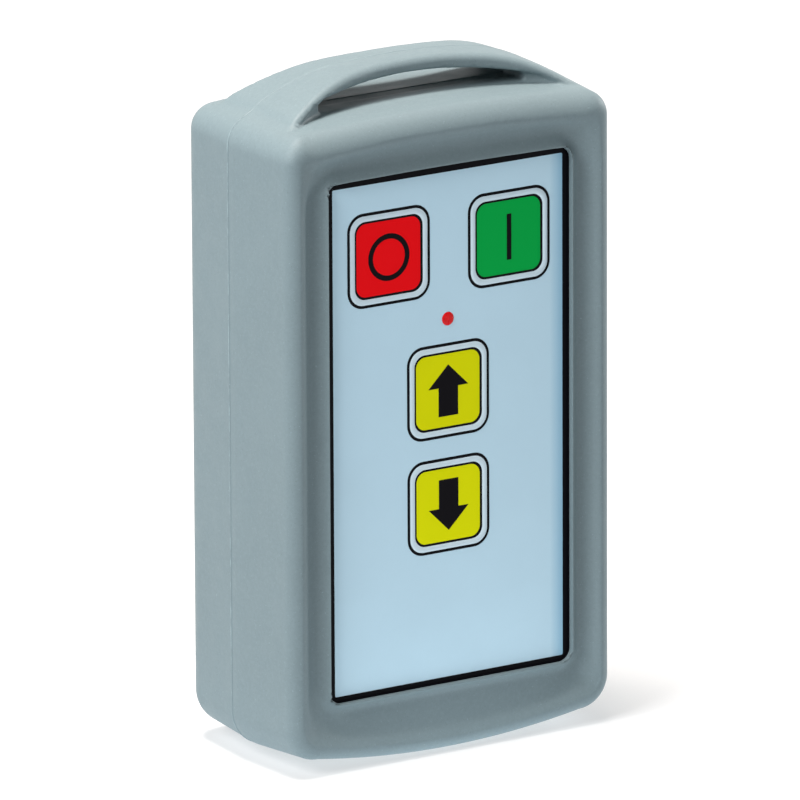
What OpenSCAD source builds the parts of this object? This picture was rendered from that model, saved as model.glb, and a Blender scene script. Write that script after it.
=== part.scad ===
// Hand-held radio transmitter for a crane or winch, in a moulded rubber boot with a carry strap.
// It stands upright as in use: X is its width, Y its depth with the keypad facing -Y, Z its height.
// The origin is at the middle of the underside.

/* [Boot] */
// Width of the boot across its parting line
boot_w = 72.5; // [70:0.5:78]
// Depth of the boot from its front bead to its back
boot_d = 38.5; // [37.5:0.5:44]
// Height of the boot's body at the middle, without the carry strap
boot_h = 123.4; // [121:0.2:140]
// Distance from the front bead back to the parting line
parting_depth = 18; // [17:0.5:19]
// How far the front and the back are drawn in from the parting line
side_draft = 1.3; // [0.6:0.1:1.6]
// Fall of the convex top from the middle to the side
top_bow = 2; // [1:0.1:3]
// Rise of the convex bottom from the middle to the side
bottom_bow = 3.7; // [2:0.1:4.2]
// Depth of the flat that the boot stands on, cut from the convex bottom
foot_flat = 0.6; // [0.4:0.1:0.8]
// Corner radius at the top, seen from the front
top_corner = 6; // [5.5:0.1:7]
// Corner radius at the bottom, seen from the front
bottom_corner = 7.5; // [6.5:0.1:8.5]
// Radius of the edge round the front
front_round = 3.4; // [2.8:0.1:4]
// Radius of the edge round the back
rear_round = 5.5; // [4.5:0.1:6]
// Height of the fine bead along the parting line
parting_bead = 0.15; // [0.1:0.05:0.3]
// Least thickness of the boot's side wall
boot_wall = 2.4; // [2:0.1:2.8]
// Thickness of the boot behind the case
back_wall = 2.4; // [2:0.1:2.8]
// Thickness of the boot under the case, at the middle
sole_t = 5.9; // [5.4:0.1:7.4]
// Thickness of the boot above the case, at the middle
crown_t = 5.8; // [5:0.1:7]

/* [Window] */
// Width of the frame beside the opening, on each side
side_rim = 10.25; // [9.5:0.05:11.5]
// Height of the frame above the opening, at the middle
top_rim = 12.1; // [11:0.1:13.5]
// Height of the frame below the opening, at the middle
bottom_rim = 13.3; // [12.6:0.1:14.4]
// Corner radius of the opening
window_r = 1.6; // [1:0.1:2.5]
// Depth of the keypad's face behind the front bead
panel_sink = 2.2; // [1.8:0.1:2.6]
// Height of the raised lip round the opening, above the keypad's face
lip_h = 0.7; // [0.4:0.1:1]
// Width of that lip
lip_w = 2; // [1.4:0.1:2.4]
// Height of the hollow between lip and bead, above the keypad's face
hollow_h = 0.2; // [0.1:0.1:0.4]

/* [Carry strap] */
// Rise of the strap's crest above the boot's body
strap_rise = 6.4; // [6:0.1:9]
// Width of the strap at its middle, front to back
strap_w = 11; // [9:0.5:14]
// Extra width on each side where the strap runs into the shoulders
strap_flare = 8.5; // [6:0.5:9.5]
// Radius of the strap's crest
crest_r = 103; // [95:1:130]
// Half length of the strap's evenly curved crest
crest_half = 13.5; // [10:0.5:16]
// Radius that is added to the curve beyond the crest
shoulder_r = 59; // [54:1:80]
// Half length at which the strap turns down into the corners
strap_turn = 29; // [28:0.5:31]
// Radius of that last turn
turn_r = 4; // [3:0.5:5]
// Radius of the strap's long edges
strap_edge = 1.2; // [0.8:0.1:1.4]
// Rise of the strap's top between its long edges
strap_crown = 0.35; // [0.2:0.05:0.6]
// Length of the slot under the strap
slot_l = 45; // [40:1:48]
// Height of the slot at its middle
slot_h = 4.6; // [4.4:0.1:6]
// Depth of the slot's floor below the top of the body
slot_sink = 1.2; // [1:0.1:2]
// Radius of the slot's upper side
slot_r = 111; // [100:1:140]
// Corner radius of the slot's ends
slot_corner = 1.1; // [0.8:0.1:1.3]

/* [Case] */
// Distance from the front bead to the back of the boot's front flange
flange_back = 3.7; // [3.6:0.1:4.2]
// Wall thickness of the two case shells
case_wall = 2.2; // [2:0.1:2.6]
// Thickness of the front shell's plate behind the keypad
plate_t = 2; // [1.8:0.1:2.4]
// Corner radius of the case
case_r = 5; // [4:0.1:6]
// Clearance between the case and the boot
boot_gap = 0.1; // [0.05:0.05:0.2]
// Clearance between the keypad and the edge of the opening
panel_gap = 0.15; // [0.1:0.05:0.25]
// Thickness of the gasket between the two shells
seal_t = 0.8; // [0.6:0.1:1.2]
// Width of that gasket
seal_w = 1.6; // [1.2:0.1:1.8]
// Diameter of the screw columns in the case
boss_d = 6.8; // [6.4:0.1:7.2]
// Diameter of the case screws
screw_d = 3; // [2.5:0.1:3.2]
// Diameter of the case screws' heads
screw_head_d = 5.4; // [5:0.1:5.6]
// Height of the case screws' heads
screw_head_h = 2; // [1.6:0.1:2.4]
// Depth that a case screw bites into the front shell
screw_bite = 8; // [6:0.5:9]

/* [Keypad] */
// Thickness of the printed keypad
overlay_t = 0.6; // [0.5:0.1:0.8]
// Width of the coloured square on a key
key_face_w = 13.7; // [13:0.1:14.4]
// Width of the pale border round the coloured square
key_border = 2.1; // [1.9:0.1:2.3]
// Corner radius of a key
key_r = 3.4; // [2.5:0.1:4]
// Corner radius of the coloured square
key_face_r = 2; // [1.5:0.1:2.4]
// Height of the embossed rim round a key
key_rim_h = 0.2; // [0.15:0.05:0.4]
// Width of that rim
key_rim_w = 1.7; // [1.4:0.1:1.8]
// Gap round a key
key_gap = 0.15; // [0.1:0.05:0.25]
// Diameter of a key's stem
stem_d = 5; // [4:0.1:5.5]
// Travel of a key
key_travel = 0.5; // [0.3:0.05:0.6]
// Diameter of the status light
lens_d = 2.9; // [2.4:0.1:3.2]
// Height of the status light above the keypad's face
lens_proud = 0.25; // [0.15:0.05:0.4]

/* [Circuit board] */
// Thickness of the circuit board
board_t = 1.6; // [1:0.1:2]
// Distance from the front plate back to the circuit board
board_gap = 4.2; // [4:0.1:4.6]
// Clearance round the circuit board
board_clear = 0.8; // [0.6:0.1:1.2]
// Diameter of the board's screws
board_screw_d = 2.2; // [2:0.1:2.5]
// Width of a key switch
switch_w = 6; // [5.5:0.1:6.5]
// Height of a key switch without its plunger
switch_h = 3.4; // [3:0.1:3.5]
// Diameter of a switch's plunger
plunger_d = 3.4; // [3:0.1:3.6]
// Diameter of the status light's diode
led_d = 3; // [2.8:0.1:3.2]

/* [Battery] */
// Width of the battery
battery_w = 26.5; // [25.5:0.1:26.5]
// Depth of the battery
battery_d = 16.5; // [15.5:0.1:17.5]
// Height of the battery's body
battery_h = 46.4; // [45.5:0.1:46.4]
// Thickness of the foam under the battery
foam_t = 1.5; // [1:0.1:2]
// Diameter of the battery leads
lead_d = 1.5; // [1.2:0.1:1.8]
// Clearance round the battery in its opening
bay_gap = 0.8; // [0.6:0.1:1.2]

/* [Hidden] */

// Sides of a drawn circle
$fn = 64;
// One overrun for every cut
over = 0.5;
// Running clearance of pins and plungers, on the radius
slide_gap = 0.05;
// Clearance between parts that lie in each other
fit_gap = 0.2;

// Depths, from the front bead at -boot_d / 2
front_y = -boot_d / 2;
back_y = boot_d / 2;
parting_y = front_y + parting_depth;
face_y = front_y + panel_sink;
pad_y = face_y + overlay_t;
shelf_y = front_y + flange_back;
plate_back_y = pad_y + plate_t;
board_front_y = plate_back_y + board_gap;
board_back_y = board_front_y + board_t;
case_back_y = back_y - back_wall;
inner_back_y = case_back_y - case_wall;
split_front_y = parting_y - seal_t / 2;
split_back_y = parting_y + seal_t / 2;

// Case outline
case_w = boot_w - 2 * side_draft - 2 * boot_wall;
case_z = sole_t;
case_h = boot_h - sole_t - crown_t;
case_mid_z = case_z + case_h / 2;
inner_w = case_w - 2 * case_wall;
inner_h = case_h - 2 * case_wall;
inner_r = case_r - case_wall;
// How far a screw column is set into the case wall
boss_sink = 0.4;
boss_x = inner_w / 2 - boss_d / 2 + boss_sink;
boss_dz = inner_h / 2 - boss_d / 2 + boss_sink;
// Height of the column top above the back of the case, under a screw head
head_seat = 2.6;

// Opening and keypad
window_w = boot_w - 2 * side_rim;
window_h = boot_h - top_rim - bottom_rim;
window_z = bottom_rim;
window_mid_z = window_z + window_h / 2;
panel_w = window_w - 2 * panel_gap;
panel_h = window_h - 2 * panel_gap;
panel_r = window_r - panel_gap;
key_w = key_face_w + 2 * key_border;
// What the keys leave free of the opening's width and height, and the shares of it on the left of
// the stop key, between stop and start, above the pair, above the up key and above the down key
free_w = window_w - 2 * key_w;
free_h = window_h - 3 * key_w;
column_shares = [0.262, 0.512];
row_shares = [0.143, 0.208, 0.088];
stop_x = free_w * column_shares[0] + key_w / 2 - window_w / 2;
start_x = stop_x + key_w + free_w * column_shares[1];
pair_key_z = window_z + window_h - free_h * row_shares[0] - key_w / 2;
up_key_z = pair_key_z - key_w - free_h * row_shares[1];
down_key_z = up_key_z - key_w - free_h * row_shares[2];
light_z = (pair_key_z + up_key_z) / 2;
KEYS = [[stop_x, pair_key_z], [start_x, pair_key_z], [0, up_key_z], [0, down_key_z]];
key_back_y = pad_y;
pocket_depth = key_travel + fit_gap;
plunger_out = 0.9;
stem_end_y = board_front_y - switch_h - plunger_out;
// Play left below a plunger that is pressed home
plunger_play = 0.1;
plunger_in = key_travel + plunger_play + 0.8 * plunger_out;
plunger_bore = plunger_in + key_travel + plunger_play;
lens_flange = 0.8;
lens_flange_t = 0.7;

// Circuit board
board_w = inner_w - 2 * board_clear;
board_h = inner_h - 2 * boss_d + 2 * boss_sink - 2 * board_clear;
board_r = 2;
post_d = 5.4;
post_x = board_w / 2 - post_d / 2 - board_clear;
post_dz = board_h / 2 - post_d / 2 - board_clear;
board_head_d = 4;
board_head_h = 1.5;
board_bite = 3.4;
// Places on the board, as shares of its half width and half height
chip_place_shares = [0.34, 0.3];
radio_place_shares = [-0.5, 0.6];
crystal_place_shares = [0.2, 0.62];
regulator_place_shares = [0.66, 0.22];
capacitor_place_shares = [[0.66, 0.52], [0.66, -0.02]];
resistor_place_shares = [[-0.5, 0.28], [-0.38, 0.28], [-0.26, 0.28], [0.1, 0.76], [0.2, 0.76],
    [0.3, 0.76], [-0.66, 0.3], [-0.66, 0.2]];
antenna_place_share = 0.88;
antenna_half_share = 0.62;
chip_w = 8;
chip_t = 1.4;
chip_pins = 7;
pin_w = 0.4;
pin_l = 1;
pin_t = 0.3;
radio_w = 20;
radio_h = 17;
radio_board_t = 0.8;
radio_can_w = 16;
radio_can_h = 12;
radio_can_t = 2.2;
crystal_l = 11;
crystal_w = 4.6;
crystal_t = 3.5;
regulator_w = 6.5;
regulator_h = 3.5;
regulator_t = 1.6;
regulator_tab = 2;
capacitor_d = 6.3;
capacitor_t = 7.7;
capacitor_cap_d = 5.2;
capacitor_cap_t = 0.4;
resistor_w = 1.6;
resistor_h = 3.2;
resistor_t = 0.6;
antenna_d = 1.4;
antenna_stand = 9;
antenna_bend = 3;
led_base_d = 3.8;
led_base_t = 0.8;
led_gap = 0.3;

// Battery and its door
battery_r = 2;
battery_z = case_z + case_wall + foam_t;
battery_top_z = battery_z + battery_h;
battery_back_y = inner_back_y - fit_gap;
battery_mid_y = battery_back_y - battery_d / 2;
terminal_x = 6.35;
terminal_h = 2.4;
terminal_plus_d = 5.8;
terminal_minus_d = 8;
snap_w = 25.4;
snap_d = 12.6;
snap_t = 4;
snap_r = 3;
lead_rise = 4;
lead_bend = 3;
lead_x = 3.2;
rib_t = 1.6;
rib_d = 9;
door_lap_x = 6;
door_lap_z = 1.4;
hatch_w = battery_w + 2 * bay_gap;
hatch_h = battery_h + 2 * bay_gap;
door_t = 1.3;
door_seal_t = 0.5;
door_seal_w = 1.2;
door_r = 2.5;
door_mid_z = battery_z + battery_h / 2;
door_w = hatch_w + 2 * door_lap_x;
door_h = hatch_h + 2 * door_lap_z;
door_screw_x = hatch_w / 2 + door_lap_x / 2 + 0.1 * door_lap_x;
door_screw_d = 2.5;
door_screw_head_d = 4.5;
door_screw_head_h = 1;
door_screw_l = 6;
door_boss_d = 5;
door_boss_l = 5;
door_front_y = case_back_y - door_t;
ledge_y = door_front_y - door_seal_t;

// Shape of the boot: how finely its curves are cut
corner_steps = 7;
bow_steps = 12;
round_steps = 5;
hollow_steps = 6;
strap_steps = 32;
slot_steps = 10;
slot_floor_z = boot_h - slot_sink;
crest_z = boot_h + strap_rise;
strap_base_z = boot_h - 2 * top_corner;
strap_end = boot_w / 2 - boot_wall;
bead_half = 2 * parting_bead;
lip_round = 0.5;
edge_steps = 4;
least_corner_share = 0.45;

// Outline of the boot or the opening in XZ, for a list of half width, top, bottom, top bow,
// bottom bow, top corner radius and bottom corner radius
function outline(v) =
    let (hw = v[0], ct = v[5], cb = v[6], xt = hw - ct, xb = hw - cb,
        zt = v[1] - v[3] * pow(xt / hw, 2) - ct, zb = v[2] + v[4] * pow(xb / hw, 2) + cb)
    concat(
        [for (i = [0 : corner_steps]) let (a = 90 * i / corner_steps)
            [xt + ct * cos(a), zt + ct * sin(a)]],
        [for (i = [1 : bow_steps - 1]) let (x = xt * (1 - 2 * i / bow_steps))
            [x, v[1] - v[3] * pow(x / hw, 2)]],
        [for (i = [0 : corner_steps]) let (a = 90 + 90 * i / corner_steps)
            [-xt + ct * cos(a), zt + ct * sin(a)]],
        [for (i = [0 : corner_steps]) let (a = 180 + 90 * i / corner_steps)
            [-xb + cb * cos(a), zb + cb * sin(a)]],
        [for (i = [1 : bow_steps - 1]) let (x = -xb * (1 - 2 * i / bow_steps))
            [x, v[2] + v[4] * pow(x / hw, 2)]],
        [for (i = [0 : corner_steps]) let (a = 270 + 90 * i / corner_steps)
            [xb + cb * cos(a), zb + cb * sin(a)]]);

// The boot's outer outline, drawn in by one distance all round
function boot_outline(inset) = [boot_w / 2 - inset, boot_h - inset, inset - foot_flat, top_bow, bottom_bow,
    corner_in(top_corner, inset), corner_in(bottom_corner, inset)];
// Radius of a corner that is drawn in, which never gets sharp
function corner_in(r, inset) = max(least_corner_share * r, r - inset);
// The opening's outline, let out by one distance all round
function window_outline(grow) = [window_w / 2 + grow, window_z + window_h + grow, window_z - grow,
    0, 0, window_r + grow, window_r + grow];
// Draft at a depth, as the inset it gives
function draft_at(y) = side_draft * abs(y - parting_y) /
    (y < parting_y ? parting_depth : boot_d - parting_depth);
function ring(y, v) = [for (p = outline(v)) [p[0], y, p[1]]];
function outer_ring(y, inset) = ring(y, boot_outline(inset + draft_at(y)));
function mix(u, v, t) = u * (1 - t) + v * t;

// Solid through a list of rings with equal counts of points, capped at both ends
module loft(rings) {
    n = len(rings[0]);
    m = len(rings);
    sides = [for (j = [0 : m - 2]) for (i = [0 : n - 1])
        let (a = j * n + i, b = j * n + (i + 1) % n, c = a + n, d = b + n)
        each [[a, d, b], [a, c, d]]];
    first = [for (i = [0 : n - 1]) i];
    last = [for (i = [n - 1 : -1 : 0]) (m - 1) * n + i];
    polyhedron([for (r = rings) each r], concat(sides, [first, last]), convexity = 6);
}

// A flat XZ shape made solid between two depths
module slab(y0, y1) {
    translate([0, y1, 0]) rotate([90, 0, 0]) linear_extrude(y1 - y0) children();
}

module rounded(w, h, r) {
    square([w - 2 * r, h], center = true);
    square([w, h - 2 * r], center = true);
    for (sx = [-1, 1], sz = [-1, 1])
        translate([sx * (w / 2 - r), sz * (h / 2 - r)]) circle(r);
}

// A pin along Y between two depths
module pin(d, y0, y1) {
    translate([0, y1, 0]) rotate([90, 0, 0]) cylinder(d = d, h = y1 - y0);
}

// The four places of a pattern that is mirrored about the middle of the case
module at_corners(x, dz) {
    for (sx = [-1, 1], sz = [-1, 1]) translate([sx * x, 0, case_mid_z + sz * dz]) children();
}

// Body of the boot: back, drafted sides, parting bead, front bead, hollow frame, lip and opening
module boot_body() {
    crest = boot_outline(side_draft + front_round);
    lip = window_outline(lip_w);
    loft(concat(
        [for (i = [round_steps : -1 : 0]) let (a = 90 * i / round_steps)
            outer_ring(back_y - rear_round * (1 - sin(a)), rear_round * (1 - cos(a)))],
        [outer_ring(parting_y + bead_half, 0), outer_ring(parting_y, -parting_bead),
            outer_ring(parting_y - bead_half, 0)],
        [for (i = [0 : round_steps]) let (a = 90 * i / round_steps)
            outer_ring(front_y + front_round * (1 - sin(a)), front_round * (1 - cos(a)))],
        [for (i = [1 : hollow_steps]) let (t = i / hollow_steps,
            drop = (panel_sink - hollow_h) * (1 - pow(1 - t, 2)))
            ring(front_y + drop, mix(crest, lip, t))],
        [ring(face_y - lip_h, window_outline(lip_w / 2)),
            ring(face_y - lip_h, window_outline(lip_round)),
            ring(face_y - lip_h + lip_round, window_outline(0)),
            ring(shelf_y + over, window_outline(0))]));
}

// Height of the strap's top along its length
function strap_z(x) = crest_z - x * x / (2 * crest_r)
    - pow(max(0, abs(x) - crest_half), 2) / (2 * shoulder_r)
    - pow(max(0, abs(x) - strap_turn), 2) / (2 * turn_r);
// Half the strap's width along its length
function strap_half(x) = strap_w / 2 + strap_flare * pow(x / strap_end, 2);
// Cross-section of the strap and what lies under it, at one place along its length
function strap_ring(x) =
    let (h = strap_half(x), z = strap_z(x), r = strap_edge, flat = h - r, edge_z = z - strap_crown - r)
    concat([[x, parting_y - h, strap_base_z]],
        [for (i = [0 : edge_steps]) let (a = 180 - 90 * i / edge_steps)
            [x, parting_y - flat + r * cos(a), edge_z + r * sin(a)]],
        [for (i = [-1 : 1]) [x, parting_y + flat * i / 2, z - strap_crown * i * i / 4]],
        [for (i = [0 : edge_steps]) let (a = 90 - 90 * i / edge_steps)
            [x, parting_y + flat + r * cos(a), edge_z + r * sin(a)]],
        [[x, parting_y + h, strap_base_z]]);

module strap_body() {
    loft([for (i = [0 : strap_steps]) strap_ring(strap_end * (1 - 2 * i / strap_steps))]);
}

// Slot under the strap: a floor, a curved upper side and rounded ends
module slot_cut() {
    half = slot_l / 2 - slot_corner;
    function under(x) = slot_floor_z + slot_h - x * x / (2 * slot_r) - slot_corner;
    slab(front_y - over, back_y + over)
        for (i = [0 : slot_steps - 1])
            hull() for (j = [i, i + 1]) {
                x = half * (2 * j / slot_steps - 1);
                translate([x, slot_floor_z + slot_corner]) circle(slot_corner, $fn = 24);
                translate([x, under(x)]) circle(slot_corner, $fn = 24);
            }
}

module case_outline(grow) {
    translate([0, case_mid_z]) rounded(case_w + 2 * grow, case_h + 2 * grow, case_r + grow);
}

module panel_outline() {
    translate([0, window_mid_z]) rounded(panel_w, panel_h, panel_r);
}

module rubber_boot() {
    color([0.56, 0.61, 0.62]) difference() {
        union() {
            boot_body();
            strap_body();
        }
        slot_cut();
        slab(shelf_y - boot_gap, case_back_y + boot_gap) case_outline(boot_gap);
        translate([-boot_w, -boot_d, -boot_h]) cube([2 * boot_w, 2 * boot_d, boot_h]);
    }
}

// Front shell: raised pad behind the keypad, key pockets, screw columns and board posts
module front_case() {
    color([0.16, 0.17, 0.18]) difference() {
        union() {
            difference() {
                union() {
                    slab(shelf_y, split_front_y) case_outline(0);
                    slab(pad_y, shelf_y) panel_outline();
                }
                slab(plate_back_y, split_front_y + over)
                    translate([0, case_mid_z]) rounded(inner_w, inner_h, inner_r);
            }
            at_corners(boss_x, boss_dz) pin(boss_d, plate_back_y - over, split_front_y);
            at_corners(post_x, post_dz) pin(post_d, plate_back_y - over, board_front_y);
        }
        at_corners(boss_x, boss_dz)
            pin(screw_d + 2 * slide_gap, split_front_y - screw_bite - fit_gap, split_front_y + over);
        at_corners(post_x, post_dz)
            pin(board_screw_d + 2 * slide_gap, board_front_y - board_bite - fit_gap, board_front_y + over);
        for (k = KEYS) translate([k[0], 0, k[1]]) {
            slab(pad_y - over, pad_y + pocket_depth)
                rounded(key_w + 2 * key_gap, key_w + 2 * key_gap, key_r + key_gap);
            pin(stem_d + 2 * key_gap, pad_y - over, plate_back_y + over);
        }
        translate([0, 0, light_z]) {
            pin(lens_d + 2 * slide_gap, pad_y - over, plate_back_y + over);
            pin(lens_d + 2 * lens_flange + 2 * slide_gap, pad_y - over, pad_y + lens_flange_t);
        }
    }
}

// Rear shell: screw columns, ribs beside the battery, and the opening for the battery
module rear_case() {
    color([0.16, 0.17, 0.18]) difference() {
        union() {
            difference() {
                slab(split_back_y, case_back_y) case_outline(0);
                slab(split_back_y - over, inner_back_y)
                    translate([0, case_mid_z]) rounded(inner_w, inner_h, inner_r);
            }
            at_corners(boss_x, boss_dz) pin(boss_d, split_back_y, inner_back_y + over);
            for (s = [-1, 1]) {
                translate([s * (battery_w / 2 + fit_gap + rib_t / 2) - rib_t / 2, inner_back_y - rib_d,
                    battery_z + fit_gap])
                    cube([rib_t, rib_d + over, (battery_h - door_boss_d) / 2 - 2 * fit_gap]);
                translate([s * door_screw_x, 0, door_mid_z])
                    pin(door_boss_d, inner_back_y - door_boss_l, inner_back_y + over);
            }
        }
        at_corners(boss_x, boss_dz) {
            pin(screw_d + 2 * slide_gap, split_back_y - over, case_back_y + over);
            pin(screw_head_d + 2 * fit_gap, case_back_y - head_seat, case_back_y + over);
        }
        slab(ledge_y, case_back_y + over)
            translate([0, door_mid_z]) rounded(door_w + 2 * fit_gap, door_h + 2 * fit_gap, door_r + fit_gap);
        slab(inner_back_y - over, ledge_y + over)
            translate([0, door_mid_z]) rounded(hatch_w, hatch_h, door_r);
        for (s = [-1, 1]) translate([s * door_screw_x, 0, door_mid_z])
            pin(door_screw_d + 2 * slide_gap, door_front_y - door_screw_l - fit_gap, case_back_y);
    }
}

// Gasket between the shells, along the middle of their walls
module case_seal() {
    color([0.75, 0.22, 0.18]) slab(split_front_y, split_back_y) translate([0, case_mid_z]) difference() {
        edge = (case_wall - seal_w) / 2;
        rounded(case_w - 2 * edge, case_h - 2 * edge, case_r - edge);
        rounded(inner_w + 2 * edge, inner_h + 2 * edge, inner_r + edge);
    }
}

// Printed keypad with the openings for its keys and the status light
module keypad_overlay() {
    color([0.72, 0.82, 0.88]) difference() {
        slab(face_y, pad_y) panel_outline();
        for (k = KEYS) translate([k[0], 0, k[1]]) slab(face_y - over, pad_y + over)
            rounded(key_w + 2 * key_gap, key_w + 2 * key_gap, key_r + key_gap);
        translate([0, 0, light_z]) pin(lens_d + 2 * slide_gap, face_y - over, pad_y + over);
    }
}

// Key: flat plate, embossed rim round the coloured square and a stem that reaches the switch
module key(place, face) {
    rim_out = key_w - key_border + key_rim_w;
    rim_in = rim_out - 2 * key_rim_w;
    rim_r = key_r - (key_w - rim_out) / 2;
    color(face) translate([place[0], 0, place[1]]) {
        slab(face_y, key_back_y) rounded(key_w, key_w, key_r);
        slab(face_y - key_rim_h, face_y) difference() {
            rounded(rim_out, rim_out, rim_r);
            rounded(rim_in, rim_in, key_face_r);
        }
        pin(stem_d, key_back_y, stem_end_y);
    }
}

module stop_key() { key(KEYS[0], [0.9, 0.07, 0.1]); }
module start_key() { key(KEYS[1], [0, 0.6, 0.27]); }
module up_key() { key(KEYS[2], [0.94, 0.9, 0.05]); }
module down_key() { key(KEYS[3], [0.94, 0.9, 0.05]); }

// Plunger of a key switch, touching the key's stem
module plunger(place) {
    color([0.1, 0.1, 0.1]) translate([place[0], 0, place[1]])
        pin(plunger_d, stem_end_y, board_front_y - switch_h + plunger_in);
}

module stop_plunger() { plunger(KEYS[0]); }
module start_plunger() { plunger(KEYS[1]); }
module up_plunger() { plunger(KEYS[2]); }
module down_plunger() { plunger(KEYS[3]); }

// Housing of a key switch, with the bore of its plunger
module key_switch(place) {
    color([0.3, 0.3, 0.32]) translate([place[0], 0, place[1]]) difference() {
        slab(board_front_y - switch_h, board_front_y) square(switch_w, center = true);
        pin(plunger_d + 2 * slide_gap, board_front_y - switch_h - over,
            board_front_y - switch_h + plunger_bore);
    }
}

module stop_switch() { key_switch(KEYS[0]); }
module start_switch() { key_switch(KEYS[1]); }
module up_switch() { key_switch(KEYS[2]); }
module down_switch() { key_switch(KEYS[3]); }

// Clear red light guide with a flange under the keypad
module status_lens() {
    color([0.85, 0.1, 0.1]) translate([0, 0, light_z]) {
        pin(lens_d, face_y - lens_proud, plate_back_y);
        pin(lens_d + 2 * lens_flange, pad_y, pad_y + lens_flange_t);
    }
}

module status_led() {
    dome_y = plate_back_y + led_gap + led_d / 2;
    color([0.9, 0.3, 0.3]) translate([0, 0, light_z]) {
        pin(led_d, dome_y, board_front_y);
        pin(led_base_d, board_front_y - led_base_t, board_front_y);
        translate([0, dome_y, 0]) sphere(d = led_d);
    }
}

module main_board() {
    color([0.05, 0.35, 0.18]) difference() {
        slab(board_front_y, board_back_y) translate([0, case_mid_z]) rounded(board_w, board_h, board_r);
        at_corners(post_x, post_dz)
            pin(board_screw_d + 2 * slide_gap, board_front_y - over, board_back_y + over);
        for (s = [-1, 1]) translate([s * lead_x, 0, battery_top_z + snap_t + lead_rise + lead_bend])
            pin(lead_d + 2 * slide_gap, board_front_y - over, board_back_y + over);
    }
}

// Moves its children to a place on the back of the board, given as shares of its half sizes
module on_board(shares) {
    translate([shares[0] * board_w / 2, board_back_y, case_mid_z + shares[1] * board_h / 2]) children();
}

module block(w, t, h) {
    translate([-w / 2, 0, -h / 2]) cube([w, t, h]);
}

// Controller with a row of pins on each side
module controller_chip() {
    pitch = chip_w / (chip_pins + 1);
    color([0.12, 0.12, 0.12]) on_board(chip_place_shares) {
        translate([0, pin_t, 0]) block(chip_w, chip_t, chip_w);
        for (q = [0 : 3], i = [1 : chip_pins]) rotate([0, 90 * q, 0])
            translate([i * pitch - chip_w / 2 - pin_w / 2, 0, chip_w / 2 - pin_l])
                cube([pin_w, 2 * pin_t, 2 * pin_l]);
    }
}

module radio_module() {
    color([0.7, 0.72, 0.74]) on_board(radio_place_shares) {
        block(radio_w, radio_board_t, radio_h);
        translate([0, radio_board_t, 0]) block(radio_can_w, radio_can_t, radio_can_h);
    }
}

module crystal() {
    straight = crystal_l - crystal_w;
    color([0.78, 0.78, 0.8]) on_board(crystal_place_shares) {
        block(straight, crystal_t, crystal_w);
        for (s = [-1, 1]) translate([s * straight / 2, 0, 0]) pin(crystal_w, 0, crystal_t);
    }
}

// Loop antenna: a rod bent to a bridge whose two feet stand on the board
module antenna() {
    half = antenna_half_share * board_w / 2;
    run = half - antenna_bend;
    color([0.8, 0.6, 0.25]) on_board([0, antenna_place_share]) {
        translate([-run, antenna_stand, 0]) rotate([0, 90, 0]) cylinder(d = antenna_d, h = 2 * run);
        for (s = [-1, 1]) {
            translate([s * half, 0, 0]) pin(antenna_d, 0, antenna_stand - antenna_bend);
            translate([s * run, antenna_stand - antenna_bend, 0]) rotate([0, 0, s > 0 ? 0 : 90])
                rotate_extrude(angle = 90) translate([antenna_bend, 0]) circle(d = antenna_d);
        }
    }
}

module regulator() {
    color([0.13, 0.13, 0.13]) on_board(regulator_place_shares) {
        block(regulator_w, regulator_t, regulator_h);
        for (s = [-1, 1]) translate([0, 0, s * regulator_h / 2]) block(regulator_w / 2, pin_t, regulator_tab);
    }
}

module capacitors() {
    for (p = capacitor_place_shares) color([0.7, 0.72, 0.75]) on_board(p) {
        pin(capacitor_d, 0, capacitor_t);
        pin(capacitor_cap_d, capacitor_t, capacitor_t + capacitor_cap_t);
    }
}

module resistors() {
    for (p = resistor_place_shares) color([0.08, 0.08, 0.09]) on_board(p)
        block(resistor_w, resistor_t, resistor_h);
}

// Nine-volt block battery, upright, with its two snap terminals on top
module battery() {
    color([0.25, 0.27, 0.3]) {
        translate([0, battery_mid_y, battery_z]) linear_extrude(battery_h)
            rounded(battery_w, battery_d, battery_r);
        for (s = [-1, 1]) translate([s * terminal_x, battery_mid_y, battery_top_z])
            cylinder(d = s > 0 ? terminal_minus_d : terminal_plus_d, h = terminal_h);
    }
}

module battery_snap() {
    color([0.1, 0.1, 0.1]) translate([0, battery_mid_y, battery_top_z]) difference() {
        linear_extrude(snap_t) rounded(snap_w, snap_d, snap_r);
        for (s = [-1, 1]) translate([s * terminal_x, 0, -over])
            cylinder(d = (s > 0 ? terminal_minus_d : terminal_plus_d) + 2 * fit_gap, h = terminal_h + over + fit_gap);
    }
}

// Battery lead: up from the snap, round a bend and forward through the board
module lead(side) {
    translate([side * lead_x, battery_mid_y, battery_top_z + snap_t]) {
        cylinder(d = lead_d, h = lead_rise);
        translate([0, -lead_bend, lead_rise]) rotate([90, 0, 90])
            rotate_extrude(angle = 90) translate([lead_bend, 0]) circle(d = lead_d);
    }
    translate([side * lead_x, 0, battery_top_z + snap_t + lead_rise + lead_bend])
        pin(lead_d, board_front_y, battery_mid_y - lead_bend);
}

module lead_red() { color([0.8, 0.05, 0.05]) lead(1); }
module lead_black() { color([0.05, 0.05, 0.05]) lead(-1); }

module battery_foam() {
    color([0.3, 0.3, 0.3]) translate([0, battery_mid_y, battery_z - foam_t]) linear_extrude(foam_t)
        rounded(battery_w, battery_d, battery_r);
}

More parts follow.
